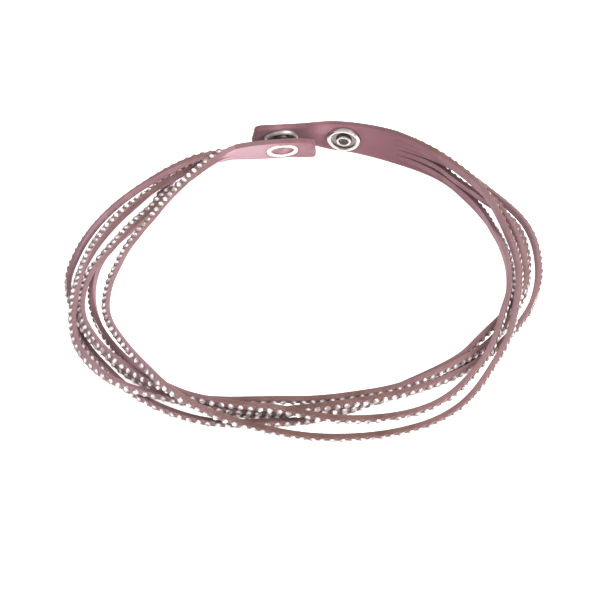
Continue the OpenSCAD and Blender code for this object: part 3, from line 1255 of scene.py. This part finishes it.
@dataclass
class Crystals:
    """Rows of small faceted crystals, one row along each strand.

    The crown's two rings of facets meet at its belt, whose height is a share of the crown's and
    whose diameter is a share of the crystal's.
    """

    sides: int = 12
    diameter: float = 1.7
    table: float = 0.9
    height: float = 0.5
    girdle: float = 0.15
    belt_height: float = 0.6
    belt_width: float = 0.76
    pitch: float = 2.4
    bare: float = 5.0
    glue: float = 0.1
    in_cad: tuple[int, ...] = (1, 5)
    light_arc: float = 0.7 * math.pi
    turn_arc: float = math.pi / 4
    upper: Glint = Glint(0.42, 0.5, 0.15)
    lower: Glint = Glint(0.36, 0.3, 0.12)
    girdle_light: tuple[float, float] = (0.15, 0.3)
    table_light: tuple[float, float] = (0.35, 0.7)
    plain_tables: float = 0.6

    def cut_stone(self) -> Object:
        """Models one crystal: a girdle, a ring of crossed facets, a ring of plain ones and a table.

        Returns:
            The crystal, standing on the origin.
        """
        bpy.ops.object.select_all(action="DESELECT")
        bpy.ops.mesh.primitive_cylinder_add(
            vertices=self.sides,
            radius=self.diameter / 2,
            depth=self.girdle,
            location=(0.0, 0.0, self.girdle / 2),
        )
        stone = bpy.context.object
        bpy.ops.object.transform_apply(location=True)
        bpy.ops.object.mode_set(mode="EDIT")
        bpy.ops.mesh.select_mode(type="FACE")
        bpy.ops.mesh.select_all(action="DESELECT")
        bpy.ops.object.mode_set(mode="OBJECT")
        for face in stone.data.polygons:
            face.select = face.normal.z > LEVEL
        bpy.ops.object.mode_set(mode="EDIT")
        crown = self.height - self.girdle
        belt = self.belt_width * self.diameter
        half_step = math.pi / self.sides
        for rise, scale, turn in (
            (self.belt_height * crown, belt / self.diameter, half_step),
            ((1 - self.belt_height) * crown, self.table / belt, 0.0),
        ):
            bpy.ops.mesh.extrude_region_move(TRANSFORM_OT_translate={"value": (0.0, 0.0, rise)})
            bpy.ops.transform.resize(value=(scale, scale, 1.0), center_override=(0.0, 0.0, 0.0))
            bpy.ops.transform.rotate(value=turn, orient_axis="Z", center_override=(0.0, 0.0, 0.0))
        bpy.ops.mesh.select_all(action="SELECT")
        bpy.ops.mesh.vert_connect_nonplanar(angle_limit=math.radians(1))
        bpy.ops.object.mode_set(mode="OBJECT")
        return stone

    def facet_lights(self, stone: Object, chance: random.Random) -> list[float]:
        """Painted brightness of a crystal's facets: a girdle in painted shade, a crown painted lit
        from one side and a table, some of which flash with a painted glint.

        Args:
            stone: The crystal, standing on the origin.
            chance: Source of the variation.

        Returns:
            One brightness for each face, 0 to 1.
        """
        belt = self.girdle + self.belt_height * (self.height - self.girdle)
        bright_side = chance.uniform(0.0, self.light_arc)
        lights = []
        for face in stone.data.polygons:
            facing = math.cos(math.atan2(face.center.y, face.center.x) - bright_side)
            facing = max(facing, 0.0) ** 2
            if abs(face.normal.z) > LEVEL:
                flashes = chance.random() > self.plain_tables
                light = 1.0 if flashes else chance.uniform(*self.table_light)
            elif face.center.z > belt:
                light = self.upper.light(facing, chance)
            elif face.center.z > self.girdle:
                light = self.lower.light(facing, chance)
            else:
                light = chance.uniform(*self.girdle_light)
            lights.append(light)
        return lights

    def build_row(self, number: int, stone: Object, material: Material) -> None:
        """Sets a row of crystals along a strand.

        Args:
            number: The strand.
            stone: The crystal that is copied.
            material: Material of the crystals.
        """
        route = strand_route(number)
        chance = random.Random(number)
        copies = []
        lights: list[float] = []
        seat = Matrix.Translation((0.0, 0.0, STRAND_THICKNESS / 2 + self.glue))
        for place in route.spaced(self.pitch, self.bare):
            copy = stone.copy()
            copy.data = stone.data.copy()
            turn = Matrix.Rotation(chance.uniform(0.0, self.turn_arc), 4, "Z")
            copy.data.transform(Matrix.Scale(MM, 4) @ route.basis(place) @ seat @ turn)
            bpy.context.collection.objects.link(copy)
            copies.append(copy)
            lights.extend(self.facet_lights(stone, chance))
        only(*copies)
        bpy.ops.object.join()
        row = bpy.context.object
        row.name = row.data.name = f"crystals_on_strand_{number}"
        row.data.materials.append(material)
        # Painted light, shade and glints of each facet, which the crystal material turns into
        # colour
        painted_facet_light = row.data.attributes.new("painted_facet_light", "FLOAT", "FACE")
        painted_facet_light.data.foreach_set("value", lights)
        nodes = (f"crystal_row_{number}",) if number in self.in_cad else ()
        finish_piece(row, Slot.CRYSTAL, *nodes)

    def build(self, finishes: Finishes) -> None:
        """Makes all rows of crystals.

        Args:
            finishes: The materials.
        """
        stone = self.cut_stone()
        for number in STRAND_ROWS:
            self.build_row(number, stone, finishes.crystal)
        bpy.data.objects.remove(stone, do_unlink=True)


# The snaps


@dataclass
class Snaps:
    """The ring snaps, whose solids are carried over from the CAD.

    A part's shades are pairs of a distance from the snap's axis, in millimetres, and how bright
    the plating is painted there, 0 to 1: painted highlights on rims and painted shade in hollows.
    """

    polished_roughness: float = 0.2
    satin_roughness: float = 0.5
    ring: Pairs = ((3.1, 0.5), (3.4, 0.95), (4.3, 1.0), (4.6, 0.5))
    open_socket: Pairs = (
        (1.3, 0.3), (1.45, 0.6), (2.0, 0.7), (2.2, 0.08), (3.3, 0.12),
        (3.5, 0.45), (4.1, 0.75), (4.5, 1.0), (4.8, 0.5),
    )
    # Painted shade where the closed halves face each other, with a thin painted highlight on the
    # socket's rim
    shut_socket: Pairs = (
        (2.2, 0.1), (3.9, 0.18), (4.25, 0.35), (4.45, 0.85), (4.65, 0.5), (4.8, 0.2),
    )
    shut_stud: Pairs = ((1.3, 0.2), (3.8, 0.2), (4.4, 0.35))

    def dress(self) -> None:
        """Gives every snap part its metal."""
        closed = Route(INNER_TAB_ROWS).basis(CLOSED_PLACE)
        spare = Route(OUTER_TAB_ROWS).basis(SPARE_PLACE)
        for name, axis, shades, roughness in (
            ("inner_ring", closed, self.ring, self.polished_roughness),
            ("stud", closed, self.shut_stud, self.satin_roughness),
            ("closed_socket", closed, self.shut_socket, self.satin_roughness),
            ("spare_socket", spare, self.open_socket, self.polished_roughness),
            ("back_ring", closed, self.ring, self.polished_roughness),
            ("spare_back_ring", spare, self.ring, self.polished_roughness),
        ):
            metal = Plated(f"plated_{name}", axis, shades, roughness).material()
            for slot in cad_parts[name].material_slots:
                slot.material = metal
            LOG.info("%s: plated", name)


# The studio


@dataclass
class Studio:
    """White floor, soft light and the photograph's camera.

    Sizes and places of the floor and the lamps are metres.
    """

    elevation: float = 40.0
    tilt: float = 0.873
    distance: float = 550.0
    focal_pixels: float = 2100.0
    image_pixels: float = 610.0
    sensor: float = 36.0
    aim_height: float = 5.0
    floor_size: float = 6.0
    floor_white: float = 0.9
    floor_glow: float = 0.75
    surround: float = 0.75
    lamp_size: float = 0.4

    def build_floor(self) -> None:
        """Lays the plain white floor."""
        bpy.ops.object.select_all(action="DESELECT")
        bpy.ops.mesh.primitive_plane_add(size=self.floor_size)
        floor = bpy.context.object
        floor.name = "studio_floor"
        sheet = NodeSheet.named("studio_white")
        sheet.tune(
            sheet.shader,
            Base_Color=(self.floor_white, self.floor_white, self.floor_white, 1.0),
            Roughness=1.0,
            Specular_IOR_Level=0.0,
            Emission_Color=(1.0, 1.0, 1.0, 1.0),
            Emission_Strength=self.floor_glow,
        )
        floor.data.materials.append(sheet.material)

    def build_light(self) -> None:
        """Sets the white surround and the soft lamps."""
        world = bpy.data.worlds.new("studio")
        world.use_nodes = True
        background = world.node_tree.nodes["Background"]
        NodeSheet.tune(background, Color=(1.0, 1.0, 1.0, 1.0), Strength=self.surround)
        bpy.context.scene.world = world
        for name, place, power in (
            ("key", (0.55, -0.4, 0.5), 9.0),
            ("fill", (-0.5, -0.3, 0.6), 1.5),
            ("back", (0.1, 0.6, 0.5), 2.0),
        ):
            lamp = bpy.data.lights.new(name, "AREA")
            lamp.size = self.lamp_size
            lamp.energy = power
            holder = bpy.data.objects.new(name, lamp)
            holder.location = place
            holder.rotation_euler = (-Vector(place)).to_track_quat("-Z", "Y").to_euler()
            bpy.context.collection.objects.link(holder)

    def build_camera(self) -> None:
        """Sets the camera at the photograph's angle."""
        data = bpy.data.cameras.new("camera")
        data.sensor_width = self.sensor
        data.lens = self.focal_pixels / self.image_pixels * self.sensor
        camera = bpy.data.objects.new("camera", data)
        angle = math.radians(self.elevation)
        target = SHIFT + Vector((0.0, 0.0, self.aim_height))
        back = Vector((0.0, -math.cos(angle), math.sin(angle))) * self.distance
        camera.location = (target + back) * MM
        camera.rotation_euler = (math.radians(90 - self.elevation - self.tilt), 0.0, 0.0)
        bpy.context.collection.objects.link(camera)
        bpy.context.scene.camera = camera
        bpy.context.scene.view_settings.view_transform = "Standard"

    def build(self) -> None:
        """Sets up the whole studio."""
        self.build_floor()
        self.build_light()
        self.build_camera()


def main() -> None:
    """Builds the bracelet and its studio."""
    logging.basicConfig(level=logging.INFO, format="%(name)s: %(message)s")
    finishes = Finishes.mixed()
    Strap().build(finishes)
    Crystals().build(finishes)
    Snaps().dress()
    Studio().build()


if __name__ == "__main__":
    main()
